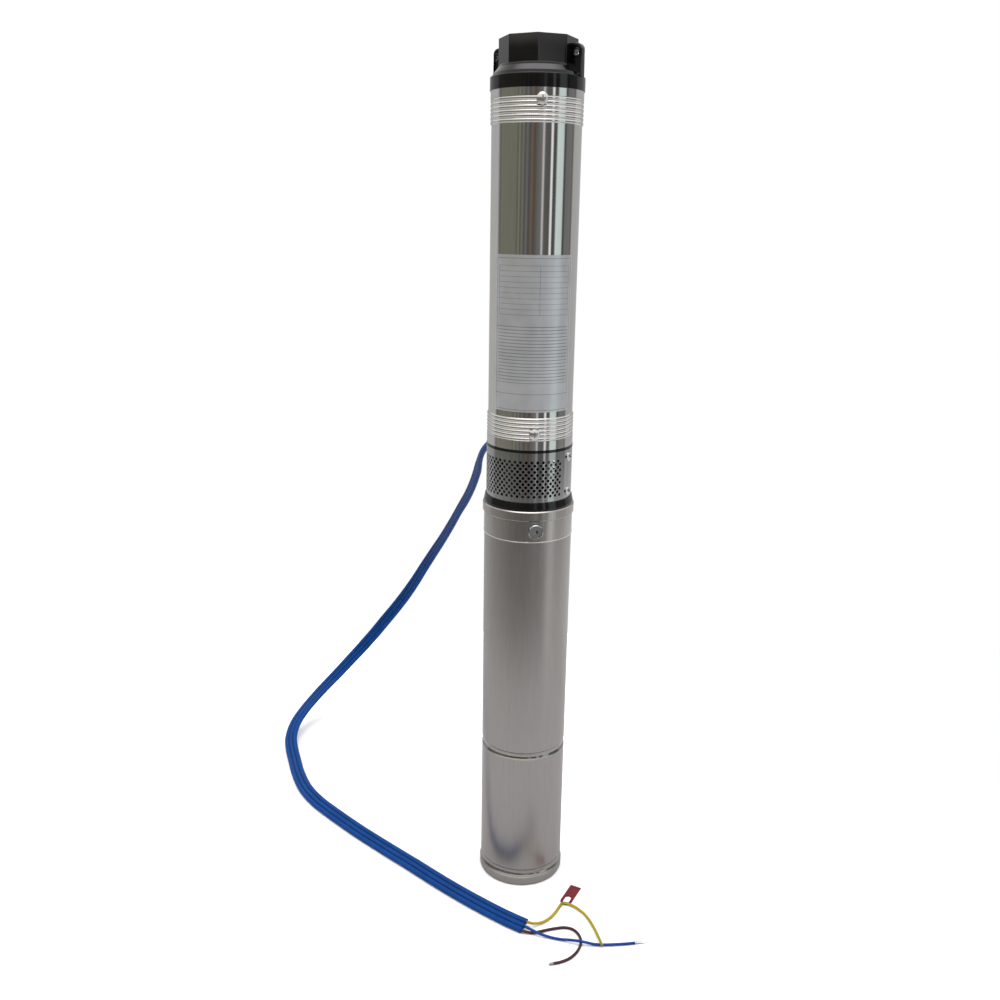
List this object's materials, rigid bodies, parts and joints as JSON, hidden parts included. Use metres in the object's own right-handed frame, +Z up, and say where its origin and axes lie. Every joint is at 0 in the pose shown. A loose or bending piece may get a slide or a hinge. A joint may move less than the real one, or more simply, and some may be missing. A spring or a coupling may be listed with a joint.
{
  "type": "borehole submersible pump",
  "caption": "Slim multistage borehole pump: steel pump shell over a perforated suction strainer and an oil-filled motor, with a threaded outlet, rope eyes and a flat cable.",
  "frame": {"origin": "middle of the motor's base, on the floor it stands on", "axes": "+Z up along the shaft to the outlet, -Y to the front with the locking screws and the oil plug, +X to the right of the front"},
  "size_m": [0.4775, 0.5727, 0.9235],
  "materials": {
    "black_plastic": "moulded black plastic, satin gloss",
    "inner_plastic": "moulded glass-filled plastic",
    "white_plastic": "moulded ivory plastic",
    "polished_steel": "mirror-polished stainless tube",
    "motor_steel": "polished stainless, fine turning marks",
    "strainer_steel": "perforated stainless sheet",
    "screw_steel": "bright stainless",
    "turned_steel": "turned stainless",
    "lamination": "oiled iron",
    "copper": "varnished copper wire",
    "ceramic": "lapped ceramic",
    "carbon": "lapped carbon",
    "black_rubber": "moulded rubber",
    "cable_blue": "flexible sheath with two grooves",
    "core_yellow_green": "yellow and green insulation",
    "core_brown": "brown insulation",
    "core_blue": "blue insulation",
    "tag_red": "red plastic"
  },
  "bodies": {
    "housing": {"discharge_head": "black_plastic", "valve_seat": "turned_steel", "valve_guide": "inner_plastic", "valve_spring": "turned_steel", "pump_shell": "polished_steel", "shell_lock_screws": "screw_steel", "upper_bearing_carrier": "inner_plastic", "upper_bearing_bush": "black_rubber", "diffuser_1": "inner_plastic", "diffuser_2": "inner_plastic", "diffuser_3": "inner_plastic", "diffuser_4": "inner_plastic", "diffuser_5": "inner_plastic", "diffuser_6": "inner_plastic", "diffuser_7": "inner_plastic", "intake_bracket": "black_plastic", "strainer": "strainer_steel", "strainer_screws": "screw_steel", "flange_bolts": "turned_steel", "motor_top_cover": "motor_steel", "can_orings": "black_rubber", "oil_plug": "screw_steel", "seal_seat": "ceramic", "upper_bearing_outer": "turned_steel", "lower_bearing_outer": "turned_steel", "stator_core": "lamination", "stator_windings": "copper", "motor_can": "motor_steel", "lower_bearing_bracket": "lamination", "capacitor": "white_plastic", "capacitor_cup": "inner_plastic", "bottom_cover": "motor_steel", "cable_boot": "black_rubber", "power_cable": "cable_blue", "core_earth": "core_yellow_green", "core_live": "core_brown", "core_neutral": "core_blue", "core_tag": "tag_red"},
    "rotor": {"motor_shaft": "turned_steel", "rotor_core": "lamination", "upper_bearing_inner": "turned_steel", "lower_bearing_inner": "turned_steel", "seal_ring": "carbon", "seal_bellows": "black_rubber", "sand_slinger": "black_rubber", "coupling": "turned_steel", "pump_shaft": "turned_steel", "shaft_nut": "turned_steel", "impeller_1": "white_plastic", "impeller_2": "white_plastic", "impeller_3": "white_plastic", "impeller_4": "white_plastic", "impeller_5": "white_plastic", "impeller_6": "white_plastic", "impeller_7": "white_plastic"},
    "check_valve": {"valve_poppet": "inner_plastic", "valve_seal": "black_rubber"},
    "upper_ball_train": {"upper_bearing_balls": "turned_steel"},
    "lower_ball_train": {"lower_bearing_balls": "turned_steel"}
  },
  "joints": [
    {"name": "rotor_spin", "type": "hinge", "parent": "housing", "child": "rotor", "pos_m": [0, 0, 0.3], "axis": [0, 0, 1], "continuous": true},
    {"name": "upper_ball_orbit", "type": "hinge", "parent": "housing", "child": "upper_ball_train", "pos_m": [0, 0, 0.413], "axis": [0, 0, 1], "continuous": true},
    {"name": "lower_ball_orbit", "type": "hinge", "parent": "housing", "child": "lower_ball_train", "pos_m": [0, 0, 0.1801], "axis": [0, 0, 1], "continuous": true},
    {"name": "valve_lift", "type": "slide", "parent": "housing", "child": "check_valve", "axis": [0, 0, 1], "range_m": [0, 0.008], "stiffness_N_per_m": 60, "springref_m": -0.01, "deforming": ["valve_spring"]}
  ],
  "couplings": [
    {"joint": "upper_ball_orbit", "follows": "rotor_spin", "ratio": 0.3815},
    {"joint": "lower_ball_orbit", "follows": "rotor_spin", "ratio": 0.3818}
  ]
}
